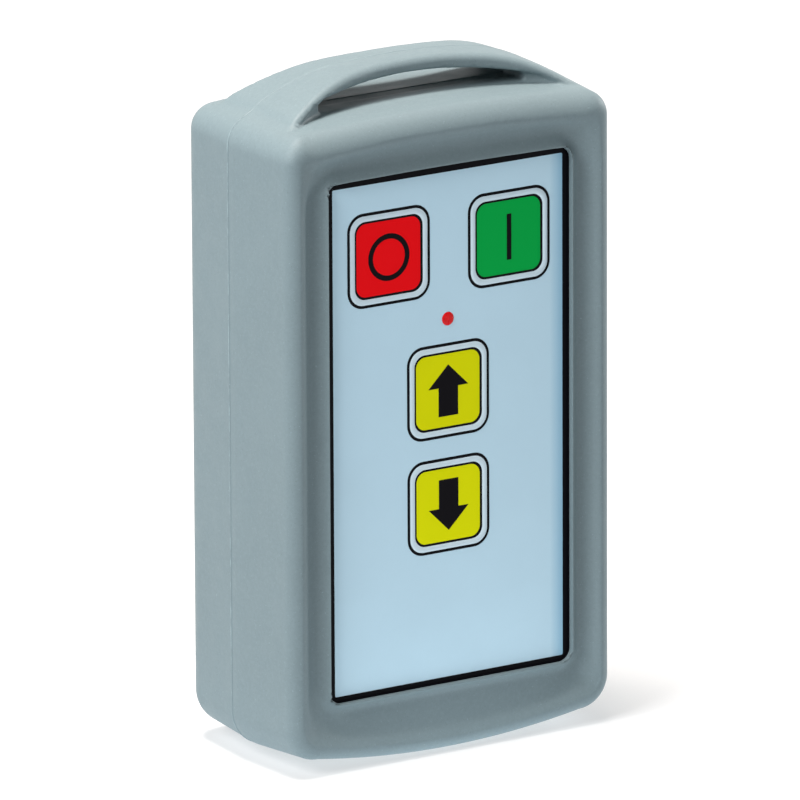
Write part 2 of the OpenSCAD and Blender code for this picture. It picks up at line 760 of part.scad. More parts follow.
module battery_door() {
    color([0.16, 0.17, 0.18]) translate([0, 0, door_mid_z]) difference() {
        union() {
            slab(door_front_y, case_back_y) rounded(door_w, door_h, door_r);
            slab(inner_back_y, door_front_y)
                rounded(hatch_w - 2 * fit_gap, hatch_h - 2 * fit_gap, door_r - fit_gap);
        }
        for (s = [-1, 1]) translate([s * door_screw_x, 0, 0]) {
            pin(door_screw_d + 2 * slide_gap, door_front_y - over, case_back_y + over);
            screw_cone(slide_gap);
        }
    }
}

// Countersunk head of a door screw, or the seat for it
module screw_cone(grow) {
    translate([0, case_back_y - door_screw_head_h, 0]) rotate([-90, 0, 0])
        cylinder(d1 = door_screw_d + 2 * grow, d2 = door_screw_head_d + 2 * grow, h = door_screw_head_h);
}

module door_seal() {
    color([0.1, 0.1, 0.1]) translate([0, 0, door_mid_z]) slab(ledge_y, door_front_y) difference() {
        rounded(hatch_w + 2 * door_seal_w + 2 * fit_gap, hatch_h + 2 * door_seal_w + 2 * fit_gap,
            door_r + door_seal_w);
        rounded(hatch_w, hatch_h, door_r);
    }
}

module door_screws() {
    for (s = [-1, 1]) color([0.75, 0.76, 0.78]) translate([s * door_screw_x, 0, door_mid_z]) {
        pin(door_screw_d, door_front_y - door_screw_l, case_back_y);
        screw_cone(0);
    }
}

module case_screws() {
    seat_y = case_back_y - head_seat;
    at_corners(boss_x, boss_dz) color([0.75, 0.76, 0.78]) {
        pin(screw_d, split_front_y - screw_bite, seat_y + screw_head_h);
        pin(screw_head_d, seat_y, seat_y + screw_head_h);
    }
}

module board_screws() {
    at_corners(post_x, post_dz) color([0.75, 0.76, 0.78]) {
        pin(board_screw_d, board_front_y - board_bite, board_back_y + board_head_h);
        pin(board_head_d, board_back_y, board_back_y + board_head_h);
    }
}

rubber_boot();
front_case();
rear_case();
case_seal();
keypad_overlay();
stop_key();
start_key();
up_key();
down_key();
stop_plunger();
start_plunger();
up_plunger();
down_plunger();
stop_switch();
start_switch();
up_switch();
down_switch();
status_lens();
status_led();
main_board();
controller_chip();
radio_module();
crystal();
antenna();
regulator();
capacitors();
resistors();
battery();
battery_snap();
lead_red();
lead_black();
battery_foam();
battery_door();
door_seal();
door_screws();
case_screws();
board_screws();
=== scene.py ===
"""Looks of the crane radio remote control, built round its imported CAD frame.

Shapes are in millimetres in the row frame, X width, Y depth with the keypad facing -Y, Z up, and
each mesh is scaled to metres when it is made. The stage is in metres.
"""

import math

import bpy
import numpy as np
from mathutils import Matrix, Vector
from mathutils.geometry import delaunay_2d_cdt


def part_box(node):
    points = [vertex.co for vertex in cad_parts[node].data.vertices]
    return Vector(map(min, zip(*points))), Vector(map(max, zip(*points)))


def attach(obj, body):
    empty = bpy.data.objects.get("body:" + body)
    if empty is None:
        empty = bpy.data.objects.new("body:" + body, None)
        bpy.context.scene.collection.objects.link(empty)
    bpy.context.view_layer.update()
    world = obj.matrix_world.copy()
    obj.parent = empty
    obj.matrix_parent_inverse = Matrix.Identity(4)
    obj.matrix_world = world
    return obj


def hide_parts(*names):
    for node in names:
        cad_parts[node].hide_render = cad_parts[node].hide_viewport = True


MM = 0.001
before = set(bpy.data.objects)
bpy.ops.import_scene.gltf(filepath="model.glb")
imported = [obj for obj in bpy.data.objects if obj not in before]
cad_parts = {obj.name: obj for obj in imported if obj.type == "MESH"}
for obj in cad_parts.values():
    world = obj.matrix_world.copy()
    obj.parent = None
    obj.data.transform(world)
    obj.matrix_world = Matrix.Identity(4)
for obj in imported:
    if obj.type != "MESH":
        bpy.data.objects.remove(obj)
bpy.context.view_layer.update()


# ---------------------------------------------------------------- camera

# Turn, tilt and roll, distance, focal length and the point looked at, all fitted to the photo
AZIMUTH, ELEVATION, ROLL = (math.radians(v) for v in (32.726, 15.522, -0.259))
CAMERA_DISTANCE = 2472.0
FOCAL_PIXELS, IMAGE_PIXELS, SENSOR = 13513.0, 800.0, 36.0
LOOK_AT = Vector((-10.5, -17.05, 68.6))
NEAR_CLIP, FAR_CLIP = 0.1, 30


def make_camera():
    """The photo's camera."""
    a, e, r = AZIMUTH, ELEVATION, ROLL
    back = Vector((-math.sin(a) * math.cos(e), -math.cos(a) * math.cos(e), math.sin(e)))
    right = Vector((math.cos(a), -math.sin(a), 0))
    up = Vector((math.sin(a) * math.sin(e), math.cos(a) * math.sin(e), math.cos(e)))
    turned_right = math.cos(r) * right + math.sin(r) * up
    turned_up = -math.sin(r) * right + math.cos(r) * up
    data = bpy.data.cameras.new("camera")
    data.sensor_width = SENSOR
    data.lens = FOCAL_PIXELS * SENSOR / IMAGE_PIXELS
    data.clip_start, data.clip_end = NEAR_CLIP, FAR_CLIP
    camera = bpy.data.objects.new("camera", data)
    bpy.context.scene.collection.objects.link(camera)
    axes = Matrix((turned_right, turned_up, back)).transposed().to_4x4()
    camera.matrix_world = Matrix.Translation((LOOK_AT + CAMERA_DISTANCE * back) * MM) @ axes
    bpy.context.scene.camera = camera


make_camera()


# ---------------------------------------------------------------- materials

# Parting line of the boot: its depth on the strap, how far back it moves towards the sides and
# between which distances from the middle, and half the width of the painted highlight along it
PARTING_Y, PARTING_BACK, PARTING_TURN, PAINTED_HIGHLIGHT_HALF = -1.25, 1.95, (8.0, 30.0), 0.11
# Where the line gets a painted highlight, as distances from the middle: on the sides this sets in
# between two, on the top it fades between two, from one share to another; and how much lighter it
# gets
PAINTED_HIGHLIGHT_SIDE, PAINTED_HIGHLIGHT_TOP, PAINTED_HIGHLIGHT_SHARES, PAINTED_HIGHLIGHT_GAIN = (34.0, 35.5), (18.0, 26.0), (0.35, 0.04), 1.6
# Depth of the rubber's grain, and the levels between which noise does most of its wandering
RUBBER_GRAIN, NOISE_RANGE = 0.006, (0.3, 0.7)
# Places in X over which painted shade and reflection of the rim darken the film's blue, and their
# tone
PAINTED_SHADE_SPAN, PAINTED_SHADE_TONE = (22.3, 25.1), (0.5, 0.68, 0.78)
PRINT_SPECULAR, BLACK_ROUGH, BLACK_SPECULAR = 0.04, 0.5, 0.05


def srgb(*levels):
    """Linear colour of an 8-bit display colour."""
    linear = [((v / 255 + 0.055) / 1.055) ** 2.4 if v > 10 else v / 255 / 12.92 for v in levels]
    return linear + [1]


def metres(lengths):
    """Lengths in millimetres as metres."""
    return [v * MM for v in lengths]


def feed(tree, value, socket):
    """Joins a node's output to a socket, or sets the socket to a plain value."""
    if isinstance(value, bpy.types.NodeSocket):
        tree.links.new(value, socket)
    else:
        socket.default_value = value


def add_node(tree, kind, **inputs):
    """Adds a node whose inputs are fed by name, with _ for a space."""
    node = tree.nodes.new(kind)
    for key, value in inputs.items():
        feed(tree, value, node.inputs[key.replace("_", " ")])
    return node


def add_math(tree, operation, *values):
    """Output of a new math node."""
    node = tree.nodes.new("ShaderNodeMath")
    node.operation = operation
    for socket, value in zip(node.inputs, values):
        feed(tree, value, socket)
    return node.outputs[0]


def add_ramp(tree, value, low, high, out_low=0.0, out_high=1.0, curve="LINEAR"):
    """Output that goes from out_low to out_high while value goes from low to high."""
    node = add_node(tree, "ShaderNodeMapRange", Value=value, From_Min=low, From_Max=high,
                    To_Min=out_low, To_Max=out_high)
    node.interpolation_type = curve
    return node.outputs["Result"]


class Nodes:
    """A new node material, with short calls to add and join nodes."""

    def __init__(self, name, colour, rough, metal=0.0, specular=0.5):
        self.mat = bpy.data.materials.new(name)
        self.mat.use_nodes = True
        self.tree = self.mat.node_tree
        self.shader = self.tree.nodes["Principled BSDF"]
        self.shader.inputs["Base Color"].default_value = colour
        self.shader.inputs["Roughness"].default_value = rough
        self.shader.inputs["Metallic"].default_value = metal
        self.shader.inputs["Specular IOR Level"].default_value = specular
        self.colour = colour
        self.place = self.add("ShaderNodeTexCoord").outputs["Object"]

    def add(self, kind, **inputs):
        return add_node(self.tree, kind, **inputs)

    def math(self, operation, *values):
        return add_math(self.tree, operation, *values)

    def ramp(self, *numbers):
        return add_ramp(self.tree, *numbers)

    def noise(self, size_mm, detail, roughness=0.55, vector=None):
        """Noise whose features are about size_mm across."""
        node = self.add("ShaderNodeTexNoise", Vector=vector or self.place,
                        Scale=1 / (size_mm * MM), Detail=detail, Roughness=roughness)
        return node.outputs["Fac"]

    def mottle(self, mask, shade):
        """Takes the base colour towards shade times itself where mask is 1."""
        node = self.tree.nodes.new("ShaderNodeMix")
        node.data_type = "RGBA"
        before, after = [s for s in node.inputs if s.type == "RGBA"]
        base = self.shader.inputs["Base Color"]
        feed(self.tree, base.links[0].from_socket if base.links else self.colour, before)
        shades = shade if isinstance(shade, tuple) else (shade,) * 3
        after.default_value = [min(1, c * k) for c, k in zip(self.colour, shades)] + [1]
        feed(self.tree, mask, node.inputs[0])
        feed(self.tree, [s for s in node.outputs if s.type == "RGBA"][0], base)

    def tones(self, *tones):
        """Mottles by noise: size in mm, detail, where a tone sets in and is full, and its shade."""
        for size, detail, low, high, shade in tones:
            self.mottle(self.ramp(self.noise(size, detail), low, high), shade)

    def uneven(self, size, detail, rough, less, more, vector=None):
        """Lets the roughness wander by noise from rough - less to rough + more."""
        worn = self.noise(size, detail, vector=vector)
        feed(self.tree, self.ramp(worn, *NOISE_RANGE, rough - less, rough + more),
             self.shader.inputs["Roughness"])

    def bump(self, height, depth_mm):
        """Adds a bump of that depth to the bumps before it."""
        node = self.add("ShaderNodeBump", Height=height, Distance=depth_mm * MM, Strength=1.0)
        normal = self.shader.inputs["Normal"]
        if normal.links:
            feed(self.tree, normal.links[0].from_socket, node.inputs["Normal"])
        feed(self.tree, node.outputs[0], normal)


def paint_parting_highlight(m):
    """Paints a highlight along the parting line, in patches: on the sides and faintly on the strap.
    """
    place = m.add("ShaderNodeSeparateXYZ", Vector=m.place).outputs
    side = m.math("ABSOLUTE", place["X"])
    turn = m.ramp(side, *metres(PARTING_TURN), 0, PARTING_BACK * MM, "SMOOTHSTEP")
    depth = m.math("SUBTRACT", place["Y"], turn)
    on_line = m.math("COMPARE", depth, PARTING_Y * MM, PAINTED_HIGHLIGHT_HALF * MM)
    # Painted highlight: the bead's line is made lighter in patches.
    highlight_patches = m.math("MULTIPLY", on_line, m.ramp(m.noise(2.2, 4), 0.46, 0.66))
    where = m.math("MAXIMUM", m.ramp(side, *metres(PAINTED_HIGHLIGHT_SIDE)),
                   m.ramp(side, *metres(PAINTED_HIGHLIGHT_TOP), *PAINTED_HIGHLIGHT_SHARES))
    m.mottle(m.math("MULTIPLY", highlight_patches, where), PAINTED_HIGHLIGHT_GAIN)


def rubber(name, colour, rough=0.52, parting=False):
    """Moulded rubber: fine eroded grain with light and dark specks, and on the boot a painted
    highlight along its parting line.
    """
    m = Nodes(name, colour, rough, specular=0.35)
    m.tones((16, 3, 0.35, 0.7, 0.96), (0.7, 3, 0.42, 0.8, 1.07), (0.33, 2, 0.66, 0.76, 1.35),
            (0.27, 2, 0.62, 0.78, 0.78))
    # Painted highlight along the parting line, on the boot only.
    if parting:
        paint_parting_highlight(m)
    m.uneven(4, 4, rough, 0.05, 0.07)
    m.bump(m.noise(0.4, 3, 0.6), RUBBER_GRAIN)
    m.bump(m.noise(7, 2), 2 * RUBBER_GRAIN)
    return m.mat


def plastic(name, colour, rough=0.45, grain=0.008):
    """Moulded plastic with a fine spark-eroded grain."""
    m = Nodes(name, colour, rough)
    m.tones((12, 3, 0.35, 0.7, 0.93))
    m.uneven(3, 4, rough, 0.06, 0.06)
    m.bump(m.noise(0.35, 2), grain)
    return m.mat


def film(name, colour, rough=0.34, specular=0.25, painted_shade_x=None):
    """Printed polyester keypad film: satin coat over the ink, with faint wear. Painted shade and
    reflection of the rim can darken its colour between two places in X."""
    m = Nodes(name, colour, rough, specular=specular)
    m.tones((14, 3, 0.4, 0.75, 0.97), (0.22, 2, 0.58, 0.8, 0.96))
    # Painted shade and reflection: the colour darkens towards the rim between two places in X.
    if painted_shade_x:
        across = m.add("ShaderNodeSeparateXYZ", Vector=m.place).outputs["X"]
        m.mottle(m.ramp(across, *metres(painted_shade_x)), PAINTED_SHADE_TONE)
    m.uneven(2.5, 4, rough, 0.05, 0.07)
    m.bump(m.noise(0.16, 2), 0.0015)
    m.bump(m.noise(11, 2), 0.015)
    return m.mat


def metal(name, colour, rough, brushed=(1, 1, 1)):
    """Metal with faint tarnish and fine scratches, which run across an axis that is scaled up."""
    m = Nodes(name, colour, rough, metal=1.0)
    grain = m.add("ShaderNodeMapping", Vector=m.place, Scale=brushed).outputs[0]
    m.tones((2.5, 4, 0.4, 0.75, 0.82))
    m.uneven(0.5, 4, rough, 0.08, 0.12, grain)
    m.bump(m.noise(0.25, 3, vector=grain), 0.004)
    return m.mat


def laminate(name, colour):
    """Circuit board: woven glass under a green solder mask."""
    m = Nodes(name, colour, 0.32)
    threads = []
    for axis in "XZ":
        wave = m.add("ShaderNodeTexWave", Vector=m.place, Scale=0.16 / MM, Distortion=0.4)
        wave.bands_direction = axis
        threads.append(wave.outputs["Fac"])
    weave = m.math("MULTIPLY", *threads)
    m.mottle(m.ramp(weave, 0, 1), 1.25)
    m.tones((6, 4, 0.45, 0.7, 0.8))
    m.bump(weave, 0.006)
    return m.mat


def foam(name, colour):
    """Open-celled foam."""
    m = Nodes(name, colour, 0.9, specular=0.2)
    cells = m.add("ShaderNodeTexVoronoi", Vector=m.place, Scale=1 / (0.5 * MM)).outputs["Distance"]
    m.mottle(m.ramp(cells, 0.1, 0.5), 1.6)
    m.bump(cells, 0.15)
    return m.mat


def clear(name, colour, rough=0.12):
    """Coloured light guide, a little see-through, with a frosted face."""
    m = Nodes(name, colour, rough, specular=0.2)
    m.shader.inputs["Transmission Weight"].default_value = 0.05
    m.shader.inputs["IOR"].default_value = 1.49
    m.tones((0.8, 3, 0.4, 0.7, 0.85))
    m.uneven(0.6, 3, rough, 0, 0.15)
    m.bump(m.noise(0.5, 2), 0.01)
    return m.mat


MATERIALS = {
    "rubber_boot": rubber("grey_rubber", srgb(118, 133, 137), parting=True),
    "front_case": plastic("case_front_plastic", srgb(46, 48, 51)),
    "rear_case": plastic("case_rear_plastic", srgb(46, 48, 51)),
    "case_seal": rubber("seal_silicone", srgb(168, 62, 50), 0.5),
    "plunger": plastic("plunger_plastic", srgb(38, 39, 42), 0.4),
    "switch": metal("switch_shell", srgb(176, 176, 178), 0.34, (1, 1, 6)),
    "status_lens": clear("lens_red", srgb(240, 10, 18), 0.2),
    "status_led": clear("led_red", srgb(205, 60, 56)),
    "main_board": laminate("board_laminate", srgb(24, 92, 54)),
    "controller_chip": plastic("chip_epoxy", srgb(32, 33, 35), 0.5, 0.012),
    "radio_module": metal("radio_can", srgb(190, 191, 194), 0.3, (1, 1, 5)),
    "crystal": metal("crystal_can", srgb(196, 197, 200), 0.22, (6, 1, 1)),
    "antenna": metal("antenna_brass", srgb(198, 168, 96), 0.26),
    "regulator": plastic("regulator_epoxy", srgb(30, 31, 33), 0.48, 0.012),
    "capacitors": metal("capacitor_sleeve", srgb(184, 186, 190), 0.3, (1, 6, 1)),
    "resistors": plastic("resistor_glaze", srgb(36, 36, 40), 0.3, 0.006),
    "battery": metal("battery_jacket", srgb(160, 162, 166), 0.36, (1, 1, 8)),
    "battery_snap": plastic("snap_vinyl", srgb(34, 34, 36), 0.55, 0.02),
    "lead_red": plastic("lead_red_pvc", srgb(186, 30, 30), 0.42, 0.006),
    "lead_black": plastic("lead_black_pvc", srgb(32, 32, 34), 0.42, 0.006),
    "battery_foam": foam("foam_grey", srgb(72, 74, 78)),
    "battery_door": plastic("door_plastic", srgb(46, 48, 51)),
    "door_seal": rubber("door_silicone", srgb(168, 62, 50), 0.5),
    "door_screws": metal("door_screw_steel", srgb(188, 189, 192), 0.28),
    "case_screws": metal("case_screw_steel", srgb(188, 189, 192), 0.28),
    "board_screws": metal("board_screw_steel", srgb(192, 192, 190), 0.28),
}
BLUE_FILM = film("film_blue", srgb(200, 228, 242), painted_shade_x=PAINTED_SHADE_SPAN)
BLACK_FILM = film("film_black", srgb(8, 8, 13), BLACK_ROUGH, BLACK_SPECULAR)
PALE_FILM = film("film_pale", srgb(212, 228, 236))
INK = film("ink_black", srgb(10, 8, 13), BLACK_ROUGH, BLACK_SPECULAR)
KEY_FILMS = {
    "stop": film("film_red", srgb(254, 10, 20), specular=PRINT_SPECULAR),
    "start": film("film_green", srgb(0, 171, 71), specular=PRINT_SPECULAR),
    # Both arrow keys have one yellow ink; the up key's is a touch darker as painted shade.
    "up": film("film_yellow_painted_shade", srgb(232, 229, 0), specular=PRINT_SPECULAR),
    "down": film("film_yellow_low", srgb(236, 234, 0), specular=PRINT_SPECULAR),
}


def material_of(node):
    """A node's own material, or that of the family that its name ends in."""
    return MATERIALS.get(node) or MATERIALS.get(node.split("_")[-1])


for node_name, cad_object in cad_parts.items():
    look = material_of(node_name)
    if look:
        cad_object.data.materials.clear()
        cad_object.data.materials.append(look)


# ---------------------------------------------------------------- meshes


def new_piece(name, points_mm, faces, materials, body, replaced, indices=None, normals=None):
    """Makes a mesh piece, in metres, that rides on a body and stands for a CAD node. It takes a
    material index for each face, or a normal for each point, which makes it smooth."""
    mesh = bpy.data.meshes.new(name)
    mesh.from_pydata(np.asarray(points_mm, float) * MM, [], faces)
    for mat in materials:
        mesh.materials.append(mat)
    if indices is not None:
        mesh.polygons.foreach_set("material_index", np.asarray(indices, np.int32))
    mesh.update()
    piece = bpy.data.objects.new(name, mesh)
    bpy.context.scene.collection.objects.link(piece)
    if normals is not None:
        mesh.polygons.foreach_set("use_smooth", np.ones(len(faces), bool))
        mesh.normals_split_custom_set_from_vertices(normals)
    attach(piece, body)
    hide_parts(replaced)
    return piece


def round_max(a, b, r):
    """Distance function of where both a and b are inside, with a fillet of radius r on the edge."""
    return np.minimum(np.maximum(a, b), -r) + np.hypot(np.maximum(a + r, 0), np.maximum(b + r, 0))


def round_min(a, b, r):
    """Distance function of where either is inside, with a fillet of radius r in the hollow edge."""
    return -round_max(-a, -b, r)


def smooth_step(t):
    """Goes smoothly from 0 to 1 while t does, and stays level beyond."""
    t = np.clip(t, 0, 1)
    return t * t * (3 - 2 * t)


# ---------------------------------------------------------------- boot

# Boot without its strap: half width, half depth and height, draft of its sides from the parting
# line to front and back, bow of its top and foot, and how deep the flat is cut into the foot
HALF_W, HALF_D, BOOT_H = 36.25, 19.25, 123.4
DRAFT, TOP_BOW, BOTTOM_BOW, FOOT_FLAT = 1.3, 1.7, 3.7, 0.6
# Corner radii seen from the front, and the share of them that is left at least where the
# outline is drawn in
TOP_R, BOTTOM_R, LEAST_R = 6.0, 7.5, 0.45
# Front bead: depth and radius, its larger radius along the top, the height where that sets in
# and the length this takes, how far it stays from the corners and the length this takes there
FRONT_Y, FRONT_R, TOP_FRONT_R, TOP_FRONT_Z, TOP_FRONT_FADE = -18.85, 2.7, 4.2, 106.0, 10
CORNER_CLEAR, CORNER_FADE = 2, 6
# Opening for the keypad film: half its width and height, the height of its middle, its corner
# radius, the bow of its top edge and the depth where it ends inside
WINDOW_HALF_W, WINDOW_HALF_H, WINDOW_MID_Z, WINDOW_R, WINDOW_BOW = 26.5, 49.41, 62.41, 2.5, 0.3
WINDOW_END_Y = -15.05
# Frame round the opening: depth of its hollow, how steeply the hollow starts, how far its curve
# is drawn out past the bead, and the least distance from bead to lip that it is spread over;
# width and depth of the lip, how suddenly the lip rises, its reach over the opening, its edge's
# radius, and a factor that makes the frame's field nearly a distance
HOLLOW_Y, HOLLOW_START, PAST_BEAD, LEAST_SPAN = -16.9, 0.85, 3.5, 0.05
LIP_W, LIP_Y, LIP_RISE, LIP_REACH, LIP_ROUND, FRAME_SCALE = 2.4, -18.68, 2.2, 1.2, 0.25, 0.82
# Cavity round the case, seen from the front, and its depths
CASE_HALF_W, CASE_HALF_H, CASE_MID_Z, CASE_R = 32.65, 55.95, 61.75, 5.1
CAVITY_Y, CAVITY_BACK_Y = -15.65, 16.95
# Strap seen from the front: height of its crest, radii of crest, shoulder and end with the
# places where they set in, how much higher it is on its left and the length this takes
CREST_Z, CREST_R, CREST_HALF, SHOULDER_R, TURN_X, TURN_R = 129.8, 103.0, 13.5, 59.0, 29.0, 4.0
STRAP_LEAN, LEAN_X = 0.33, 18
# Strap seen from above: half depth, flare of its front and rear edge, end, radius of its edges
STRAP_HALF, FRONT_FLARE, REAR_FLARE, STRAP_END, STRAP_EDGE = 5.5, 7.4, 8.5, 33.85, 1.2
# Crown across the strap, and its gain at the front of the root with the place where that starts
STRAP_CROWN, ROOT_CROWN, CROWN_X = 0.35, 0.75, 20.0
# Band of the strap with its thickness and lower edge's radius, and the web under it: how far it
# is set back, where that ends, the length this takes, its top below the strap's, and its fillet
BAND_T, BAND_EDGE = 1.7, 0.6
WEB_SINK, WEB_END, WEB_FADE, WEB_TOP, WEB_FILLET = 1.3, 29.5, 7.5, 0.9, 0.5
# Slot: half length, height, radius and middle of its upper edge, radius of its corners and floor
SLOT_HALF, SLOT_TOP, SLOT_R, SLOT_X, SLOT_CORNER, FLOOR_R = 22.5, 126.9, 111.0, -2.2, 1.1, 0.7
# Floor of the slot: its sink, less towards the ends, and where the sink fades to front and back;
# its step down ahead of the parting line, with the step's width and reach; and how far it is
# raised clear of the boot's top, further to front and back and at the slot's ends
FLOOR_SINK, FLOOR_LIFT, SINK_FROM, SINK_FADE = 0.75, 0.7, 2, 8
FLOOR_STEP, STEP_W, STEP_REACH = 0.12, 0.08, 3
FLOOR_CLEAR, CLEAR_FROM, CLEAR_FADE, END_FADE, END_POWER = 0.45, 7, 4, 6, 8
# Parting bead: height and half width
BEAD_H, BEAD_HALF = 0.15, 0.25
# Fillets: frame to bead, rear edge, strap's root, slot's rim, cavity and foot
FRAME_FILLET, REAR_R, ROOT_FILLET, SLOT_RIM, CAVITY_EDGE, FOOT_EDGE = 0.7, 6.0, 0.8, 0.3, 0.2, 0.25
GRID_UNIT, QUICK_UNIT = 1.42, 2.4
GRID_X = [(0, 0.8), (21, 0.35), (23.1, 0.8), (25.9, 0.1), (27.1, 0.3), (28.8, 0.45), (37.2, 1)]
GRID_Y = [(-20.2, 0.4), (-19.4, 0.22), (-18.8, 0.1), (-18.2, 0.22), (-15.2, 0.6), (-9, 0.45),
          (-1.65, 0.042), (-0.85, 0.45), (6.5, 0.7), (13.5, 0.6), (20.2, 1)]
GRID_Z = [(-1, 0.35), (1, 0.7), (10.4, 0.3), (12.3, 0.1), (13.5, 0.9), (111.3, 0.1), (112.5, 0.3),
          (114.4, 0.6), (121, 0.22), (123.2, 0.4), (130.6, 1)]
# Depth over which grid lines go back to straight, away from the parting line
PARTING_FADE = 9
# Moves of the net onto the surface: count, longest move, least slope squared, and the half
# steps that slopes are taken over, for the moves and for the normals
MOVES, LONGEST_MOVE, LEAST_SLOPE, MOVE_H, NORMAL_H = 5, 0.3, 0.3, 0.004, 0.03


def outline_distance(x, z, inset=0.0):
    """Distance from the boot's outline, drawn in by inset, seen from the front."""
    ax = np.abs(x)
    top_r = np.maximum(LEAST_R * TOP_R, TOP_R - inset)
    low_r = np.maximum(LEAST_R * BOTTOM_R, BOTTOM_R - inset)
    half = HALF_W - inset
    top = z - (BOOT_H - inset - TOP_BOW * (np.minimum(ax, half - top_r) / half) ** 2)
    low = -FOOT_FLAT + inset + BOTTOM_BOW * (np.minimum(ax, half - low_r) / half) ** 2 - z
    return round_max(round_max(ax - half, top, top_r), low, low_r)


def box_distance(x, z, half_w, half_h, mid_z, r):
    """Distance from a rounded rectangle seen from the front."""
    dx, dz = np.abs(x) - half_w + r, np.abs(z - mid_z) - half_h + r
    return np.hypot(np.maximum(dx, 0), np.maximum(dz, 0)) + np.minimum(np.maximum(dx, dz), 0) - r


def half_depth(y):
    """Depth of the boot's half that a place is in, on its side of the parting line."""
    return np.where(y < PARTING_Y, HALF_D + PARTING_Y, HALF_D - PARTING_Y)


def window_distance(x, z):
    """Distance from the boot's opening, whose top edge is bowed."""
    bow = WINDOW_BOW * (x / WINDOW_HALF_W) ** 2 * smooth_step((z - WINDOW_MID_Z) / WINDOW_HALF_H)
    return box_distance(x, z + bow, WINDOW_HALF_W, WINDOW_HALF_H, WINDOW_MID_Z, WINDOW_R)


def parting(x):
    """How far behind PARTING_Y the parting line lies: it moves back from the strap to the sides."""
    low, high = PARTING_TURN
    return PARTING_BACK * smooth_step((np.abs(x) - low) / (high - low))


def bead(x, y, height=BEAD_H):
    """Height of the half-round parting bead at a place."""
    return height * np.sqrt(np.maximum(0, 1 - ((y - PARTING_Y - parting(x)) / BEAD_HALF) ** 2))


def front_radius(x, z):
    """Radius of the front bead, which is wider along the top."""
    in_corner = (HALF_W - CORNER_CLEAR - np.abs(x)) / CORNER_FADE
    along_top = smooth_step((z - TOP_FRONT_Z) / TOP_FRONT_FADE) * smooth_step(in_corner)
    return FRONT_R + (TOP_FRONT_R - FRONT_R) * along_top


def front_surface(x, z):
    """Depth of the frame round the keypad: hollow from the front bead down to the raised lip."""
    inside = -outline_distance(x, z, DRAFT + front_radius(x, z))
    outside = window_distance(x, z)
    t = inside / np.maximum(inside + np.maximum(outside - LIP_W, 0), LEAST_SPAN)
    t = np.where(inside < 0, inside / PAST_BEAD, t)
    hollow = FRONT_Y + (HOLLOW_Y - FRONT_Y) * ((1 + HOLLOW_START) * t - HOLLOW_START * t * t)
    rise = np.clip(1 - outside / LIP_W, 0, LIP_REACH) ** LIP_RISE
    return hollow + (LIP_Y - HOLLOW_Y) * rise


def strap_top(x):
    """Height of the strap's middle line."""
    ax = np.abs(x)
    crest = CREST_Z - x * x / (2 * CREST_R)
    shoulder = np.maximum(0, ax - CREST_HALF) ** 2 / (2 * SHOULDER_R)
    turn = np.maximum(0, ax - TURN_X) ** 2 / (2 * TURN_R)
    return crest - shoulder - turn + STRAP_LEAN * smooth_step(-x / LEAN_X)


def strap_under(x):
    """Height of the slot's upper edge."""
    return SLOT_TOP - (x - SLOT_X) ** 2 / (2 * SLOT_R)


def strap_distance(x, y, z):
    """Distance from the carry strap: a band with round edges on a web that is set back under it."""
    ax = np.abs(x)
    ahead = y < PARTING_Y
    flare = np.where(ahead, FRONT_FLARE, REAR_FLARE)
    half = STRAP_HALF + flare * (x / STRAP_END) ** 2
    across = np.abs(y - PARTING_Y)
    slope = ax / CREST_R + np.maximum(0, ax - CREST_HALF) / SHOULDER_R \
        + np.maximum(0, ax - TURN_X) / TURN_R
    crown = STRAP_CROWN + ahead * ROOT_CROWN * smooth_step((ax - CROWN_X) / (STRAP_END - CROWN_X))
    top_z = strap_top(x) - crown * (across / half) ** 2
    top = (z - top_z + BEAD_H / 2 - bead(x, y, BEAD_H / 2)) / np.sqrt(1 + slope ** 2)
    side = (across - half) / np.sqrt(1 + (2 * flare * ax / STRAP_END ** 2) ** 2)
    under = (np.minimum(strap_under(x), top_z - BAND_T) - z) / np.sqrt(1 + (x / SLOT_R) ** 2)
    band = round_max(round_max(top, side, STRAP_EDGE), under, BAND_EDGE)
    sink = WEB_SINK * np.clip((WEB_END - ax) / WEB_FADE, 0, 1)
    web = np.maximum(side + sink, top + WEB_TOP)
    ends = np.maximum(ax - STRAP_END, BOOT_H - 2 * TOP_R - z)
    return np.maximum(round_min(band, web, WEB_FILLET), ends)


def slot_distance(x, y, z):
    """Distance from the slot under the strap, whose floor falls away from the parting line."""
    away = np.abs(y - PARTING_Y)
    top = BOOT_H - TOP_BOW * (x / HALF_W) ** 2 - DRAFT * away / half_depth(y)
    sink = (FLOOR_SINK - FLOOR_LIFT * (x / SLOT_HALF) ** 2) \
        * (1 - smooth_step((away - SINK_FROM) / SINK_FADE))
    clear_end = smooth_step(away / END_FADE) * (x / SLOT_HALF) ** END_POWER
    clear_top = FLOOR_CLEAR * np.maximum(smooth_step((away - CLEAR_FROM) / CLEAR_FADE), clear_end)
    stepped = smooth_step((PARTING_Y - y) / STEP_W + 0.5) * smooth_step(STEP_REACH - away)
    floor = top - sink + clear_top - FLOOR_STEP * stepped
    sides = round_max(np.abs(x) - SLOT_HALF, z - strap_under(x), SLOT_CORNER)
    return round_max(sides, floor - z, FLOOR_R)


